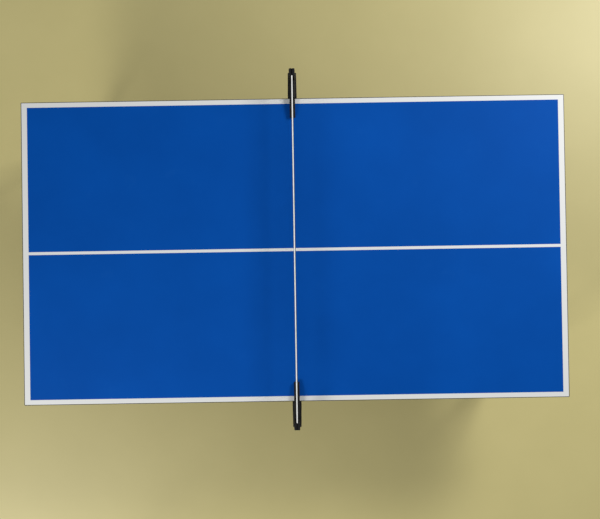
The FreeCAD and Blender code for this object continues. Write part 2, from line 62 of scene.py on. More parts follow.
class Sock:
    """One output in a finish's node tree. Sums, products and comparisons of it add Math nodes."""

    def __init__(self, finish, out):
        self.finish, self.out = finish, out

    def math_node(self, operation, left, right):
        return self.finish.node("Math", {"operation": operation}, {0: left, 1: right})

    def __add__(self, other):
        return self.math_node("ADD", self, other)

    def __radd__(self, other):
        return self.math_node("ADD", other, self)

    def __sub__(self, other):
        return self.math_node("SUBTRACT", self, other)

    def __mul__(self, other):
        return self.math_node("MULTIPLY", self, other)

    def __rmul__(self, other):
        return self.math_node("MULTIPLY", other, self)

    def __gt__(self, other):
        return self.math_node("GREATER_THAN", self, other)

    def __lt__(self, other):
        return self.math_node("LESS_THAN", self, other)

    def __abs__(self):
        return self.math_node("ABSOLUTE", self, 0.0)

    def wave(self, length):
        """A sine of this value, which repeats at that length."""
        return self.math_node("SINE", self * (2 * math.pi / length), 0.0)


class Finish:
    """A material on a Principled shader, built up one node at a time."""

    def __init__(self, name, **fixed):
        self.material = bpy.data.materials.new(name)
        self.material.use_nodes = True
        self.tree = self.material.node_tree
        self.shader = self.tree.nodes["Principled BSDF"]
        self.set(**{key.replace("_", " "): value for key, value in fixed.items()})

    def node(self, kind, settings=None, values=None, out=0):
        """Adds a node of that kind, with its settings and then its inputs, and gives one of its outputs."""
        made = self.tree.nodes.new("ShaderNode" + kind)
        for key, value in (settings or {}).items():
            setattr(made, key, value)
        for key, value in (values or {}).items():
            self.feed(made.inputs[key], value)
        return Sock(self, made.outputs[out])

    def feed(self, socket, value):
        if isinstance(value, Sock):
            self.tree.links.new(value.out, socket)
        elif socket.type == "RGBA":
            socket.default_value = (*value, 1.0)
        else:
            socket.default_value = value

    def set(self, **values):
        for key, value in values.items():
            self.feed(self.shader.inputs[key], value)

    def place(self):
        return self.node("TexCoord", out="Object")

    def along(self):
        """x, y and z of Object coordinates, in metres."""
        split = self.node("SeparateXYZ", {}, {0: self.place()})
        return [Sock(self, out) for out in split.out.node.outputs]

    def noise(self, scale, detail=3.0, rough=0.5, stretch=None):
        where = self.place()
        if stretch:
            where = self.node("Mapping", {}, {"Vector": where, "Scale": stretch})
        values = {"Vector": where, "Scale": scale, "Detail": detail, "Roughness": rough}
        return self.node("TexNoise", {}, values)

    def rise(self, value, low, high):
        """0 where the value is under low, 1 where it is over high, and a straight rise between them."""
        ramp = self.node("ValToRGB", {}, {0: value})
        black, white = ramp.out.node.color_ramp.elements
        black.position, white.position = low, high
        return ramp

    def blend(self, share, low, high):
        return self.node("Mix", {"data_type": "RGBA"}, {0: share, 6: low, 7: high}, out=2)

    def relief(self, height, depth):
        """Bump of that depth in metres."""
        return self.node("Bump", {}, {"Height": height, "Strength": 1.0, "Distance": depth})


hall_floor = Finish("hall_floor", Roughness=0.48, Specular_IOR_Level=0.42)
scuff = hall_floor.noise(1.3, 5.0, 0.6)
hall_floor.set(**{"Base Color": hall_floor.blend(hall_floor.rise(scuff, 0.3, 0.75),
                                                 (0.485, 0.427, 0.185), (0.525, 0.462, 0.205))})
floor_reach = 60.0
floor_corners = [(floor_reach * x, floor_reach * y, 0.0) for x, y in ((-1, -1), (1, -1), (1, 1), (-1, 1))]
floor_mesh = bpy.data.meshes.new("floor")
floor_mesh.from_pydata(floor_corners, [], [(0, 1, 2, 3)])
floor_mesh.materials.append(hall_floor.material)
floor = bpy.data.objects.new("floor", floor_mesh)
bpy.context.scene.collection.objects.link(floor)
table_middle = Vector((0.0, 0.0, 0.7))


def hang_light(name, place, size, watts, tint):
    """A square soft box that faces the table's middle."""
    lamp = bpy.data.lights.new(name, "AREA")
    lamp.size = size
    lamp.energy = watts
    lamp.color = tint
    stand = bpy.data.objects.new(name, lamp)
    stand.location = place
    stand.rotation_euler = (table_middle - Vector(place)).to_track_quat("-Z", "Y").to_euler()
    stand.visible_camera = False
    bpy.context.scene.collection.objects.link(stand)


hang_light("hall_light_far", (3.2, 2.25, 3.6), 1.4, 196.0, (1.0, 0.99, 0.965))
hang_light("hall_light_near", (-2.75, -3.1, 3.6), 1.5, 152.0, (1.0, 0.985, 0.95))
air = bpy.data.worlds.new("hall_air")
air.use_nodes = True
glow = air.node_tree.nodes["Background"].inputs
glow["Color"].default_value = (0.93, 0.96, 1.0, 1.0)
glow["Strength"].default_value = 0.33
bpy.context.scene.world = air

# --------------------------------------------------------------------------------------------------
# The two boards. Each is fibreboard rolled with matt blue paint, with white lines sprayed over it:
# broad ones along the sides and end, and a narrow one down the middle.

halves = (("a", -1), ("b", 1))
half_length, half_width, top_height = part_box("edge_band_b")[1]
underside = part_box("board_b")[0].z
end_line, side_line, middle_line = 0.0305, 0.0264, 0.0145

table_paint = Finish("table_paint", Specular_IOR_Level=0.04)
x, y, z = table_paint.along()
soft_edge = (table_paint.noise(420.0, 2.0) - 0.5) * 0.0009
end_mask = (abs(x) + soft_edge) > (half_length - end_line)
side_mask = (abs(y) + soft_edge) > (half_width - side_line)
middle_mask = (abs(y) + soft_edge) < (middle_line / 2)
top_mask = z > top_height - 0.0003
line_mask = ((end_mask + side_mask + middle_mask) > 0.5) * top_mask
cloud = table_paint.noise(2.2, 4.0, 0.55)
roller = table_paint.noise(260.0, 3.0, 0.6, stretch=(0.35, 1.0, 1.0))
scuffs = table_paint.rise(table_paint.noise(7.0, 8.0, 0.72), 0.60, 0.78)
blue = table_paint.blend(table_paint.rise(cloud, 0.3, 0.7), (0.0004, 0.054, 0.287), (0.0006, 0.062, 0.324))
blue = table_paint.blend(scuffs * 0.10, blue, (0.012, 0.105, 0.380))
white = table_paint.blend(scuffs * 0.35, (0.605, 0.612, 0.61), (0.53, 0.54, 0.545))
under = table_paint.blend(table_paint.noise(900.0, 4.0, 0.7), (0.15, 0.095, 0.052), (0.24, 0.160, 0.095))
face = table_paint.blend(line_mask, blue, white)
table_paint.set(**{
    "Base Color": table_paint.blend(z < underside + 0.0005, face, under),
    "Roughness": 0.50 + 0.10 * cloud + 0.10 * scuffs + 0.05 * line_mask,
    "Normal": table_paint.relief(line_mask * 0.6 + roller * 0.5, 0.00012),
})


def coat(finish, *nodes):
    """Gives CAD nodes a finish."""
    for node in nodes:
        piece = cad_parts[node]
        if not piece.material_slots:
            piece.data.materials.append(finish.material)
        for slot in piece.material_slots:
            slot.material = finish.material


coat(table_paint, "board_a", "board_b")

# --------------------------------------------------------------------------------------------------
# The edge bands. A black plastic strip, three millimetres thick, is glued round each board and
# trimmed flush.

edge_plastic = Finish("edge_plastic", Specular_IOR_Level=0.45)
grain = edge_plastic.noise(1500.0, 2.0)
edge_plastic.set(**{
    "Base Color": edge_plastic.blend(edge_plastic.rise(edge_plastic.noise(30.0, 6.0, 0.7), 0.35, 0.8),
                                     (0.012, 0.013, 0.015), (0.034, 0.035, 0.038)),
    "Roughness": 0.40 + 0.15 * edge_plastic.noise(40.0, 4.0),
    "Normal": edge_plastic.relief(grain, 0.00006),
})
coat(edge_plastic, "edge_band_a", "edge_band_b")

# --------------------------------------------------------------------------------------------------
# The steel frame under each board: rectangular tube rails, cross rails and pressed brackets, all
# welded and powder coated black, with moulded caps round the two outer corners.

powder_coat = Finish("powder_coat", Specular_IOR_Level=0.4)
orange_peel = powder_coat.noise(700.0, 2.0, 0.45)
dust = powder_coat.rise(powder_coat.noise(14.0, 7.0, 0.7), 0.45, 0.85)
powder_coat.set(**{
    "Base Color": powder_coat.blend(dust, (0.0135, 0.014, 0.0155), (0.034, 0.034, 0.035)),
    "Roughness": 0.34 + 0.10 * powder_coat.noise(25.0, 4.0) + 0.12 * dust,
    "Normal": powder_coat.relief(orange_peel, 0.00010),
})
for half in "ab":
    coat(powder_coat, "apron_rails_" + half, "cross_rails_" + half, "leg_brackets_" + half)

moulding = Finish("moulding", Specular_IOR_Level=0.24)
vdi_grain = moulding.noise(2400.0, 3.0, 0.6)
rubbed = moulding.rise(moulding.noise(38.0, 6.0, 0.7), 0.5, 0.85)
moulding.set(**{
    "Base Color": moulding.blend(rubbed, (0.0030, 0.0032, 0.0036), (0.0105, 0.0105, 0.0112)),
    "Roughness": 0.50 + 0.14 * rubbed + 0.08 * vdi_grain,
    "Normal": moulding.relief(vdi_grain, 0.00007),
})
coat(moulding, "corner_caps_a", "corner_caps_b")

# --------------------------------------------------------------------------------------------------
# The frame screws. Zinc-plated pan heads with a cross recess are driven up through the rails into
# each board.

zinc = Finish("zinc", Metallic=1.0)
spangle = zinc.node("TexVoronoi", {}, {"Vector": zinc.place(), "Scale": 260.0}, out="Color")
tarnish = zinc.noise(45.0, 5.0, 0.65)
zinc.set(**{
    "Base Color": zinc.blend(zinc.rise(tarnish, 0.35, 0.75), (0.50, 0.51, 0.525), (0.60, 0.585, 0.54)),
    "Roughness": 0.26 + 0.16 * tarnish + 0.06 * zinc.node("RGBToBW", {}, {0: spangle}),
    "Normal": zinc.relief(zinc.noise(600.0, 3.0), 0.00004),
})


def sheets(name, grids, merge=1e-6):
    """A mesh of one or more grids of points, each (rows, columns, 3). Neighbours in a grid make quads,
    equal points are merged, so that a row drawn to one point closes as a pole, and the faces are turned
    outwards."""
    points, faces, first = [], [], 0
    for grid in grids:
        rows, cols = grid.shape[:2]
        a = first + (np.arange(rows - 1)[:, None] * cols + np.arange(cols - 1)[None, :])
        faces.append(np.stack([a, a + 1, a + cols + 1, a + cols], -1).reshape(-1, 4))
        points.append(grid.reshape(-1, 3))
        first += rows * cols
    mesh = bpy.data.meshes.new(name)
    mesh.from_pydata(np.concatenate(points).tolist(), [], np.concatenate(faces).tolist())
    work = bmesh.new()
    work.from_mesh(mesh)
    bmesh.ops.remove_doubles(work, verts=work.verts, dist=merge)
    bmesh.ops.dissolve_degenerate(work, edges=work.edges, dist=merge)
    bmesh.ops.recalc_face_normals(work, faces=work.faces)
    work.to_mesh(mesh)
    work.free()
    return mesh


def fit(name, mesh, finish, body, stands_for=(), crease=35.0):
    """Puts a finished mesh on its body, smooth except across edges sharper than the crease."""
    mesh.materials.append(finish.material)
    mesh.shade_smooth()
    mesh.set_sharp_from_angle(angle=math.radians(crease))
    piece = bpy.data.objects.new(name, mesh)
    bpy.context.scene.collection.objects.link(piece)
    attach(piece, body)
    if stands_for:
        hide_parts(*stands_for)
    return piece


def fit_grids(name, grids, finish, body, stands_for=(), crease=35.0):
    """Makes a mesh of grids and puts it on its body."""
    return fit(name, sheets(name, grids), finish, body, stands_for, crease)


def turned(profile, place, sides, flute):
    """A round solid from a profile of (radius, height) rows about +Z. Flute scales the radius by a function
    of the row's index and the angle."""
    angle = np.linspace(0.0, 2 * np.pi, sides + 1)
    r = profile[:, 0:1] * np.ones((1, sides + 1))
    r = r * flute(np.arange(len(profile))[:, None], angle[None, :])
    one = np.stack([r * np.cos(angle), r * np.sin(angle), np.repeat(profile[:, 1:2], sides + 1, 1)], -1)
    one[:, -1] = one[:, 0]
    return one + np.asarray(place)


cross_rail_places = (0.130, 0.460, 0.850, 1.180)
rail_underside = 0.711
cross_rail_screws = [(x, y) for x in cross_rail_places for y in (0.250, 0.450)]
side_rail_screws = [(x, 0.7485) for x in (0.3125, 0.655, 1.286)]


def pan_heads(sign):
    """The head is a dome, z = -h (1 - 0.75 (r / R)^2.4), with a cross sunk where |x| or |y| is under the
    arm's half-width, out to the arm's reach."""
    radius, height = 0.005, 0.003
    arm_half, arm_reach, recess = 0.00065, 0.0028, 0.0016
    r = np.concatenate([np.linspace(0, 0.96, 15), [1.0]])[:, None] * radius
    t = np.linspace(0.0, 2 * np.pi, 49)[None, :]
    px, py = r * np.cos(t), r * np.sin(t)
    dome = -height * (1.0 - (r / radius) ** 2.4 * 0.75)
    arm = np.minimum(np.abs(px), np.abs(py)) / arm_half
    reach = np.hypot(px, py) / arm_reach
    sunk = np.clip(1.6 - arm, 0.0, 1.0) * np.clip((1.15 - reach) * 5.0, 0.0, 1.0)
    head = np.stack([px, py, dome + sunk * recess], -1)
    rim = np.stack([px[-1:], py[-1:], np.zeros_like(px[-1:])], -1)
    head = np.concatenate([head, rim])
    places = [(sign * x, sign * side * y, rail_underside)
              for x, y in cross_rail_screws + side_rail_screws for side in (-1, 1)]
    return [head + np.asarray(place) for place in places]


for half, sign in halves:
    fit_grids("frame_screw_heads_" + half, pan_heads(sign), zinc, "half_" + half,
              ["frame_screws_" + half], 50.0)
    coat(zinc, "seam_dowel_" + half, "pivot_bolts_" + half, "wheel_axles_" + half)
    for frame_name in ("inner", "outer"):
        coat(zinc, f"{frame_name}_brace_upper_{half}", f"{frame_name}_brace_lower_{half}")

# --------------------------------------------------------------------------------------------------
# The leg frames. Two square tubes are joined by a flat tube across their backs with a weld bead
# round each joint, powder coated with the rest. Moulded plugs close the legs' feet and the
# crossbar's ends.

# x and y of a leg, the height of its pivot, and +1 where the bar lies on the leg's side towards the seam
leg_frames = {"inner": (0.130, 0.560, 0.687, 1), "outer": (1.180, 0.640, 0.684, -1)}
bar_drop, bar_thick, bar_tall, leg_half = 0.330, 0.020, 0.030, 0.015
cap_gap, cap_bulge = 0.0004, 0.0024
weld_inset, weld_offset, bar_weld = 0.003, 0.0006, 0.0019


def bead(start, end, radius, sides=10, ripple=0.14, step_long=0.0006, coin=0.0022):
    """A straight weld bead: a round bar whose radius rises and falls like a stack of coins."""
    start, end = np.array(start), np.array(end)
    length = np.linalg.norm(end - start)
    ahead = (end - start) / length
    stations = np.linspace(0.0, length, int(length / step_long))
    line = start + stations[:, None] * ahead
    side = np.cross(ahead, (1.0, 0.0, 0.0))
    up = np.cross(side, ahead)
    angle = np.linspace(0.0, 2 * np.pi, sides + 1)[:, None]
    ring = np.cos(angle) * side + np.sin(angle) * up
    swell = 1.0 + ripple * np.abs(np.sin(stations * np.pi / coin))
    ends = np.clip(np.minimum(stations, stations[-1] - stations) / radius, 0.0, 1.0) ** 0.5
    return line[:, None] + (radius * swell * ends)[:, None, None] * ring


def cap_plug(x0, x1, y_face, y_out, z0, z1):
    """A pillow-topped end cap: its face falls away from the middle with the sixth power of the distance."""
    u = np.linspace(-1.0, 1.0, 13)
    a, b = np.meshgrid(u, u, indexing="ij")
    rim = np.maximum(np.abs(a), np.abs(b)) ** 6
    rows = np.sign(a) * np.abs(a) ** 0.7
    cols = np.sign(b) * np.abs(b) ** 0.7
    y = y_out + (y_face - y_out) * rim
    cx, cz, hx, hz = (x0 + x1) / 2, (z0 + z1) / 2, (x1 - x0) / 2, (z1 - z0) / 2
    dome = np.stack([cx + hx * rows, y, cz + hz * cols], -1)
    back = dome.copy()
    back[..., 1] = y_face
    return [dome, back]


for half, sign in halves:
    for name, (px, py, pz, way) in leg_frames.items():
        body = f"{name}_frame_{half}"
        coat(powder_coat, f"{name}_legs_{half}")
        coat(moulding, f"{name}_leg_plugs_{half}")
        back = sign * (px - way * leg_half)
        bar_low, bar_high = pz - bar_drop - bar_tall / 2, pz - bar_drop + bar_tall / 2
        near, far = sorted((back, back - sign * way * bar_thick))
        beads, caps = [], []
        for side in (-1, 1):
            y0 = sign * (side * py - leg_half + weld_inset)
            y1 = sign * (side * py + leg_half - weld_inset)
            for height in (bar_high + weld_offset, bar_low - weld_offset):
                beads.append(bead((back, y0, height), (back, y1, height), bar_weld))
            inner_y = sign * side * (py - leg_half)
            weld_foot = (back, inner_y, bar_low + weld_inset)
            weld_head = (back, inner_y, bar_high - weld_inset)
            beads.append(bead(weld_foot, weld_head, bar_weld))
            outer_y = sign * side * (py + leg_half)
            caps += cap_plug(near + cap_gap, far - cap_gap, outer_y, outer_y + sign * side * cap_bulge,
                             bar_low + cap_gap, bar_high - cap_gap)
        fit_grids(f"{name}_weld_beads_{half}", beads, powder_coat, body)
        fit_grids(f"{name}_bar_caps_{half}", caps, moulding, body)

# --------------------------------------------------------------------------------------------------
# The rail welds. An upright bead lies in each corner where a cross rail meets the apron, and a
# level one along both sides of each bracket under the rails. The brackets of the legs are wider
# than those of the braces.

apron_face, rail_corner, bracket_edge = 0.7380, 0.0156, 0.0152
weld_low, weld_high = 0.7140, 0.7395
rail_weld, bracket_weld = 0.0017, 0.0015
# x and y of a bracket, and half its width
bracket_spots = [(0.130, 0.560, 0.0175), (0.460, 0.524, 0.0060),
                 (0.850, 0.604, 0.0060), (1.180, 0.640, 0.0175)]
for half, sign in halves:
    beads = []
    for side in (-1, 1):
        for rail in cross_rail_places:
            for shift in (-rail_corner, rail_corner):
                x, y = sign * (rail + shift), sign * side * apron_face
                beads.append(bead((x, y, weld_low), (x, y, weld_high), rail_weld))
        for spot, y, wide in bracket_spots:
            for shift in (-bracket_edge, bracket_edge):
                x = sign * (spot + shift)
                y0, y1 = sign * side * (y - wide), sign * side * (y + wide)
                beads.append(bead((x, y0, rail_underside), (x, y1, rail_underside), bracket_weld))
    fit_grids("rail_weld_beads_" + half, beads, powder_coat, "half_" + half)

# --------------------------------------------------------------------------------------------------
# The wheels. A grooved rubber tyre is pressed on a grey moulded hub with five webs, and turns on a
# bolt through the foot of the inner leg.

wheel_radius, wheel_wide = 0.0375, 0.024

tyre_rubber = Finish("tyre_rubber", Specular_IOR_Level=0.35)
wear = tyre_rubber.noise(60.0, 6.0, 0.7)
tyre_rubber.set(**{
    "Base Color": tyre_rubber.blend(tyre_rubber.rise(wear, 0.4, 0.8),
                                    (0.014, 0.014, 0.0145), (0.050, 0.048, 0.045)),
    "Roughness": 0.62 + 0.2 * wear,
    "Normal": tyre_rubber.relief(tyre_rubber.noise(1300.0, 3.0), 0.00008),
})
hub_plastic = Finish("hub_plastic", Specular_IOR_Level=0.45)
hub_plastic.set(**{
    "Base Color": hub_plastic.blend(hub_plastic.rise(hub_plastic.noise(40.0, 5.0, 0.7), 0.4, 0.8),
                                    (0.130, 0.133, 0.140), (0.185, 0.187, 0.190)),
    "Roughness": 0.42 + 0.12 * hub_plastic.noise(90.0, 3.0),
    "Normal": hub_plastic.relief(hub_plastic.noise(2000.0, 2.0), 0.00005),
})


def wheel_grids(place):
    """The tyre's section is a rounded band with three grooves, and the hub's is a bore, boss, thin disc and
    rim. The disc's thickness swells at five angles into webs."""
    w = np.linspace(0.0, 1.0, 33)
    from_middle = np.abs(2 * w - 1)
    crown = wheel_radius - 0.0016 * from_middle ** 3 - 0.0024 * np.clip(from_middle * 6 - 5, 0, 1) ** 2
    grooves = 0.0009 * sum(np.exp(-((w - groove) / 0.022) ** 2) for groove in (0.3, 0.5, 0.7))
    tread = np.stack([crown - grooves, w * wheel_wide], -1)
    rim = wheel_radius - 0.0080
    wall_low = np.stack([np.linspace(rim, tread[0, 0], 5)[:-1], np.full(4, 0.0004)], -1)
    wall_high = np.stack([np.linspace(tread[-1, 0], rim, 5)[1:], np.full(4, wheel_wide - 0.0004)], -1)
    tyre = np.concatenate([wall_low, tread, wall_high, wall_low[:1]])
    inside = np.array([(0.00408, 0.0002), (0.0100, 0.0002), (0.0107, 0.0008), (0.0112, 0.0080),
                       (0.0150, 0.0090), (0.0240, 0.0088), (0.0258, 0.0070), (0.0262, 0.0012),
                       (0.0268, 0.0006), (rim, 0.0006)])
    outside = np.stack([inside[::-1, 0], wheel_wide - inside[::-1, 1]], -1)
    hub = np.concatenate([inside, outside, inside[:1]])

    def spin(profile, sides, webs):
        angle = np.linspace(0.0, 2 * np.pi, sides + 1)
        r = np.repeat(profile[:, 0:1], sides + 1, 1)
        a = np.repeat(profile[:, 1:2], sides + 1, 1) - wheel_wide / 2
        if webs:
            web = np.exp(-((np.abs(np.mod(angle * 5 / (2 * np.pi), 1.0) - 0.5) / 0.07) ** 2))
            disc = ((profile[:, 0] > 0.0111) & (profile[:, 0] < 0.0260))[:, None]
            a = np.where(disc, a * (1.0 + 2.4 * web[None, :]), a)
            a = np.where(disc, np.clip(a, -0.0102, 0.0102), a)
        grid = np.stack([r * np.cos(angle), a, r * np.sin(angle)], -1)
        grid[:, -1] = grid[:, 0]
        return grid + np.asarray(place)

    return spin(tyre, 96, False), spin(hub, 120, True)


def middle(node):
    """The middle of a CAD node's box."""
    low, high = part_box(node)
    return (low + high) / 2


for corner in ("left_a", "right_a", "left_b", "right_b"):
    body = "wheel_" + corner
    hub_x, hub_y, _ = middle(body)
    tyre_grid, hub_grid = wheel_grids((hub_x, hub_y, wheel_radius))
    fit_grids("tyre_" + corner, [tyre_grid], tyre_rubber, body, [body], 40.0)
    fit_grids("hub_" + corner, [hub_grid], hub_plastic, body, (), 30.0)

# --------------------------------------------------------------------------------------------------
# The levelling feet. A ribbed rubber pad is moulded on a zinc-plated stem, which screws up into the
# plug in the outer leg and is held by a locknut.

thread_pitch = 0.0015


def threaded_bar(place, low, high, tip, radius, depth):
    """A round bar with a thread, r = radius - depth |2 frac(z / pitch - angle / 2 pi) - 1|, closed above."""
    z = np.arange(low, high, thread_pitch / 6)
    angle = np.linspace(0.0, 2 * np.pi, 25)
    tooth = np.abs(2 * np.mod(z[:, None] / thread_pitch - angle / (2 * np.pi), 1.0) - 1)
    r = radius - depth * tooth
    bar = np.stack([r * np.cos(angle), r * np.sin(angle), np.repeat(z[:, None], 25, 1)], -1)
    bar[:, -1] = bar[:, 0]
    point = np.full((1, 25, 3), (0.0, 0.0, tip))
    return np.concatenate([bar, point]) + np.asarray(place)


def foot_grids(place):
    """Pad: a turned profile fluted by 24 shallow ribs. Nut: six flats with its corners turned off. Stem: a
    threaded bar up through the nut."""
    pad = np.array([(0.0, 0.0), (0.0165, 0.0), (0.0172, 0.0005), (0.0196, 0.0008), (0.0200, 0.0014),
                    (0.0200, 0.0070), (0.0194, 0.0090), (0.0175, 0.0102), (0.0130, 0.0112), (0.0120, 0.0119),
                    (0.0, 0.0120)])
    nut_corner = 0.0100
    nut_flat = nut_corner * math.cos(math.pi / 6)
    nut = np.array([(0.0, 0.0121), (0.0086, 0.0121), (nut_corner, 0.0129), (nut_corner, 0.0182),
                    (0.0086, 0.0190), (0.0, 0.0190)])

    def ribs(row, angle):
        return 1.0 - 0.022 * np.where((row >= 4) & (row <= 6), np.abs(np.sin(12 * angle)) ** 3, 0.0)

    def six(row, angle):
        to_flat = nut_flat / np.cos(np.mod(angle, math.pi / 3) - math.pi / 6)
        return np.where((row == 2) | (row == 3), to_flat / nut_corner, 1.0)

    stem = threaded_bar(place, 0.0185, 0.0500, 0.0505, 0.0050, 0.00075)
    return [turned(pad, place, 144, ribs)], [turned(nut, place, 72, six), stem]


foot_rubber = Finish("foot_rubber", Specular_IOR_Level=0.35)
foot_rubber.set(**{
    "Base Color": foot_rubber.blend(foot_rubber.noise(70.0, 6.0, 0.7),
                                    (0.012, 0.012, 0.0125), (0.040, 0.039, 0.037)),
    "Roughness": 0.60 + 0.2 * foot_rubber.noise(90.0, 4.0),
    "Normal": foot_rubber.relief(foot_rubber.noise(1500.0, 3.0), 0.00008),
})
for corner in ("left_a", "right_a", "left_b", "right_b"):
    body = "foot_" + corner
    foot_x, foot_y, _ = middle(body)
    pad_grids, stem_grids = foot_grids((foot_x, foot_y, 0.0))
    fit_grids("foot_pad_" + corner, pad_grids, foot_rubber, body, [body], 40.0)
    fit_grids("foot_stem_" + corner, stem_grids, zinc, body, (), 40.0)

# --------------------------------------------------------------------------------------------------
# The net clamps. At each side a bent steel strip lies over the seam and carries the post on its
# outer end. A moulded cover hides the arm beside the table, and a hand screw with a round pad grips
# from below.

for k in "12":
    coat(powder_coat, "net_clamp_" + k)
    coat(moulding, "clamp_housing_" + k, "net_post_" + k)
    coat(foot_rubber, "clamp_pad_" + k)


def hand_screw(sign):
    """Knob: a turned profile whose radius dips at six angles. Shank: a threaded bar, as on the feet."""
    screw_y, knob_low = sign * 0.7175, 0.6085
    knob = np.array([(0.0, 0.0), (0.0125, 0.0), (0.0140, 0.0006), (0.0145, 0.0016), (0.0180, 0.0018),
                     (0.0193, 0.0026), (0.0199, 0.0045), (0.0200, 0.0070), (0.0199, 0.0095), (0.0193, 0.0114),
                     (0.0178, 0.0124), (0.0120, 0.0128), (0.0085, 0.0134), (0.0075, 0.0140), (0.0, 0.0140)])

    def dips(row, angle):
        return 1.0 - np.where((row >= 4) & (row <= 11), 0.17, 0.0) * np.abs(np.cos(3 * angle)) ** 6

    lobes = turned(knob, (0.0, screw_y, knob_low), 144, dips)
    return [lobes], [threaded_bar((0.0, screw_y, 0.0), 0.6215, 0.7070, 0.7074, 0.0040, 0.0006)]


def tension_knob(sign):
    """A knurled knob about Y: a turned profile with 24 flutes, laid on its side against the post."""
    post_face, knob_height = 0.8845, 0.852
    knob = np.array([(0.0, -0.0002), (0.0092, -0.0002), (0.0106, 0.0006), (0.0110, 0.0016), (0.0110, 0.0062),
                     (0.0105, 0.0074), (0.0090, 0.0079), (0.0070, 0.0079), (0.0066, 0.0073), (0.0, 0.0071)])

    def flutes(row, angle):
        return 1.0 - np.where((row >= 2) & (row <= 5), 0.07, 0.0) * np.abs(np.sin(12 * angle)) ** 1.5

    grid = turned(knob, (0.0, 0.0, 0.0), 192, flutes)
    return [np.stack([grid[..., 0], sign * (post_face + grid[..., 2]), knob_height + grid[..., 1]], -1)]


for k, sign in (("1", 1), ("2", -1)):
    lobes, shank = hand_screw(sign)
    body, cord_body = "clamp_screw_" + k, "tension_knob_" + k
    fit_grids("hand_knob_" + k, lobes, moulding, body, [body], 40.0)
    fit_grids("hand_screw_" + k, shank, zinc, body, (), 40.0)
    fit_grids("cord_knob_" + k, tension_knob(sign), moulding, cord_body, [cord_body], 40.0)

# --------------------------------------------------------------------------------------------------
# The netting. Dark knotted cord in a square mesh hangs between the posts, and a woven binding edges
# its ends.

net_end, net_low, net_high = 0.8475, 0.7650, 0.8990
mesh_pitch, cord_radius, knot_slip = 0.0123, 0.00047, 0.00045

net_fibre = Finish("net_fibre", Specular_IOR_Level=0.25)
twist = net_fibre.node("TexWave", {"wave_type": "BANDS", "bands_direction": "DIAGONAL"},
                       {"Vector": net_fibre.place(), "Scale": 420.0, "Distortion": 1.0})
net_fibre.set(**{
    "Base Color": net_fibre.blend(net_fibre.noise(300.0, 4.0, 0.7),
                                  (0.010, 0.016, 0.034), (0.030, 0.045, 0.085)),
    "Roughness": 0.72 + 0.12 * net_fibre.noise(500.0, 3.0),
    "Normal": net_fibre.relief(twist, 0.00012),
})


def strands(rng):
    """Each strand is a five-sided bar through its knots, with r = r0 (1 + 0.75 exp(-(d / 1.2 mm)^2)) at a
    distance d from the nearest knot. The knots are shifted a little at random, by the same amount for both
    strands, and between knots the two strands bow to opposite sides."""
    cols = int(round(2 * net_end / mesh_pitch)) + 1
    rows = int(round((net_high - net_low) / mesh_pitch)) + 1
    ys, zs = np.linspace(-net_end, net_end, cols), np.linspace(net_low, net_high, rows)
    shift = rng.normal(0.0, knot_slip, (cols, rows, 2))
    knots = np.stack([np.zeros((cols, rows)), ys[:, None] + shift[..., 0], zs[None, :] + shift[..., 1]], -1)
    knots[:, 0, 2], knots[:, -1, 2] = net_low, net_high
    share = np.array([0.0, 0.1, 0.26, 0.5, 0.74, 0.9])
    turn = np.linspace(0.0, 2 * np.pi, 6)
    ring = np.stack([np.cos(turn), np.sin(turn)], -1)
    grids = []
    for line, bow in ((knots, 1), (np.swapaxes(knots, 0, 1), -1)):
        a, b = line[:, :-1], line[:, 1:]
        pts = (a[:, :, None] * (1 - share[:, None]) + b[:, :, None] * share[:, None])
        gap = np.minimum(share, 1 - share) * mesh_pitch
        pts[..., 0] += bow * 0.00028 * np.sin(np.pi * share) ** 0.5
        pts = pts.reshape(len(line), -1, 3)
        thick = np.tile(cord_radius * (1 + 0.75 * np.exp(-(gap / 0.0012) ** 2)), line.shape[1] - 1)
        pts = np.concatenate([pts, line[:, -1:]], 1)
        thick = np.append(thick, cord_radius)
        across = (0, 1) if bow == 1 else (0, 2)
        tubes = np.repeat(pts[:, :, None], 6, 2)
        for k in range(2):
            tubes[..., across[k]] += thick[None, :, None] * ring[None, None, :, k]
        tubes[:, :, -1] = tubes[:, :, 0]
        grids += list(tubes)
    return grids


def strand_mesh(name, grids):
    """The strands' rings, joined round without merging, because knots may touch."""
    points, faces, first = [], [], 0
    for grid in grids:
        rows = len(grid)
        ring = np.arange(5)
        a = first + np.arange(rows - 1)[:, None] * 5
        b = a + 5
        after = (ring + 1) % 5
        faces.append(np.stack([a + ring, a + after, b + after, b + ring], -1).reshape(-1, 4))
        points.append(grid[:, :5].reshape(-1, 3))
        first += rows * 5
    mesh = bpy.data.meshes.new(name)
    mesh.from_pydata(np.concatenate(points).tolist(), [], np.concatenate(faces).tolist())
    work = bmesh.new()
    work.from_mesh(mesh)
    bmesh.ops.holes_fill(work, edges=[e for e in work.edges if e.is_boundary], sides=5)
    bmesh.ops.recalc_face_normals(work, faces=work.faces)
    work.to_mesh(mesh)
    work.free()
    return mesh


net_mesh = strand_mesh("netting", strands(np.random.default_rng(7)))
netting = fit("netting", net_mesh, net_fibre, "half_a", ["net"], 60.0)


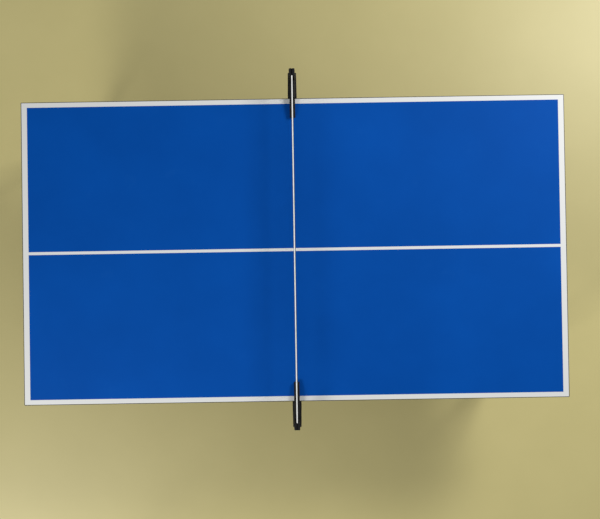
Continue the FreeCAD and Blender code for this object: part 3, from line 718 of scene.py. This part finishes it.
def end_band(sign):
    """A strip of webbing folded over the netting's end: a flat loop in plan, with rounded folds and a slow
    waver up Z, and a lid at the top and bottom."""
    turn = np.linspace(-np.pi / 2, np.pi / 2, 7)
    half_thick, low_y, high_y = 0.00085, 0.8372, 0.8485
    fold = half_thick * np.stack([np.cos(turn), np.sin(turn)], -1)
    loop = np.concatenate([(high_y, 0.0) + fold, (low_y, 0.0) - fold])
    loop = np.concatenate([loop, loop[:1]])
    z = np.linspace(0.7652, 0.8972, 60)[:, None]
    waver = 0.00012 * np.sin(z * 190.0)
    px, py = loop[:, 1] + waver, np.repeat(sign * loop[None, :, 0], len(z), 0)
    grid = np.stack([px, py, np.repeat(z, len(loop), 1)], -1)
    lids = [np.stack([row, np.repeat(row.mean(0, keepdims=True), len(row), 0)])
            for row in (grid[0], grid[-1])]
    return [grid] + lids


binding = Finish("binding", Specular_IOR_Level=0.25, Sheen_Weight=0.2)
_, along_net, up_net = binding.along()
ribs = up_net.wave(0.0011) * along_net.wave(0.0009)
binding.set(**{
    "Base Color": binding.blend(binding.noise(150.0, 5.0, 0.7), (0.011, 0.012, 0.015), (0.030, 0.032, 0.038)),
    "Roughness": 0.78 + 0.08 * binding.noise(200.0, 2.0),
    "Normal": binding.relief(ribs, 0.00016),
})
end_bands = fit_grids("net_end_bands", end_band(1) + end_band(-1), binding, "half_a", (), 60.0)

# --------------------------------------------------------------------------------------------------
# The tape. White woven cotton is folded over the cord and sewn through below it, with the netting's
# top edge held between its two leaves.

tape_end = 0.8495
fold_middle, fold_radius = 0.9095, 0.0029
seam_height, seam_pitch = 0.9022, 0.0045


def tape_section():
    """Half-widths and heights round the folded tape: up one leaf, over the cord and down the other, out and
    back."""
    turn = np.linspace(0.0, np.pi, 17)
    over = np.stack([fold_radius * np.cos(turn), fold_middle + fold_radius * np.sin(turn)], -1)
    leaf = np.array([(0.0021, 0.8976), (0.0018, 0.8990), (0.00125, 0.9010), (0.0011, seam_height),
                     (0.00125, 0.9034), (0.0020, 0.9052), (0.0027, 0.9072)])
    outer = np.concatenate([leaf, over, leaf[::-1] * (-1, 1)])
    pocket = 0.9040
    inner = outer.copy()
    inner[:, 0] *= 0.62
    inner[:, 1] = np.where(outer[:, 1] > pocket, pocket + (outer[:, 1] - pocket) * 0.90, outer[:, 1])
    return np.concatenate([outer, inner[::-1], outer[:1]])


def tape_grid():
    """The section carried along Y, with a slow waver of its leaves and a small pucker at each stitch."""
    across, up = tape_section().T
    y = np.linspace(-tape_end, tape_end, 1133)[:, None]
    low = np.clip((0.9050 - up) / 0.0075, 0.0, 1.0)
    by_seam = np.exp(-((up - seam_height) / 0.0015) ** 2)
    waver = 0.00022 * np.sin(y * 41.0) + 0.00014 * np.sin(y * 97.0 + 1.0)
    pucker = 0.00016 * np.cos(2 * np.pi * y / seam_pitch)
    px = across + low * waver + np.sign(across) * (pucker * by_seam)
    return np.stack([px, np.repeat(y, len(up), 1), np.repeat(up[None], len(y), 0)], -1)


cotton = Finish("cotton", Specular_IOR_Level=0.2, Sheen_Weight=0.25)
cx, cy, cz = cotton.along()
weave = cy.wave(0.00062) * (cz + cx).wave(0.00055)
soil = cotton.rise(cotton.noise(24.0, 6.0, 0.65), 0.4, 0.85)
cotton.set(**{
    "Base Color": cotton.blend(soil, (0.80, 0.80, 0.775), (0.66, 0.65, 0.61)),
    "Roughness": 0.80 + 0.08 * soil,
    "Normal": cotton.relief(weave, 0.00010),
})
tape_mesh = sheets("tape", [tape_grid()], 1e-7)
tape = fit("tape", tape_mesh, cotton, "half_a", ["net_tape"], 70.0)


def stitch_grids(long=0.0031, thick=0.00028, margin=0.004):
    """One stitch is a short bar bent down into the cloth at its ends, on both faces of the tape."""
    y = np.arange(-tape_end + margin, tape_end - margin, seam_pitch)
    s = np.linspace(-1.0, 1.0, 7)
    turn = np.linspace(0.0, 2 * np.pi, 6)
    r = thick * np.sqrt(np.clip(1.02 - s ** 4, 0.0, 1.0))
    grids = []
    for side in (-1, 1):
        lift = side * (0.00135 + 0.00030 * (1 - s ** 2))
        height = np.full((len(y), 7), seam_height)
        line = np.stack([np.repeat(lift[None], len(y), 0), y[:, None] + s[None] * long / 2, height], -1)
        bar = np.repeat(line[:, :, None], 6, 2)
        bar[..., 0] += r[None, :, None] * np.cos(turn)
        bar[..., 2] += r[None, :, None] * np.sin(turn)
        grids += list(bar)
    return grids


stitches = fit("tape_stitches", strand_mesh("tape_stitches", stitch_grids()), cotton, "half_a", (), 60.0)

# --------------------------------------------------------------------------------------------------
# The net cord, a black braid. The tape rests on it, and the netting hangs stretched from the tape.

braid = Finish("cord_braid", Specular_IOR_Level=0.25)
bx, by, bz = braid.along()
lay = (by * 2.0 + bz + bx).wave(0.0016)
braid.set(**{
    "Base Color": braid.blend(braid.noise(400.0, 3.0), (0.010, 0.010, 0.011), (0.030, 0.030, 0.032)),
    "Roughness": 0.75 + 0.1 * braid.noise(200.0, 2.0),
    "Normal": braid.relief(lay, 0.00015),
})
coat(braid, "net_cord")
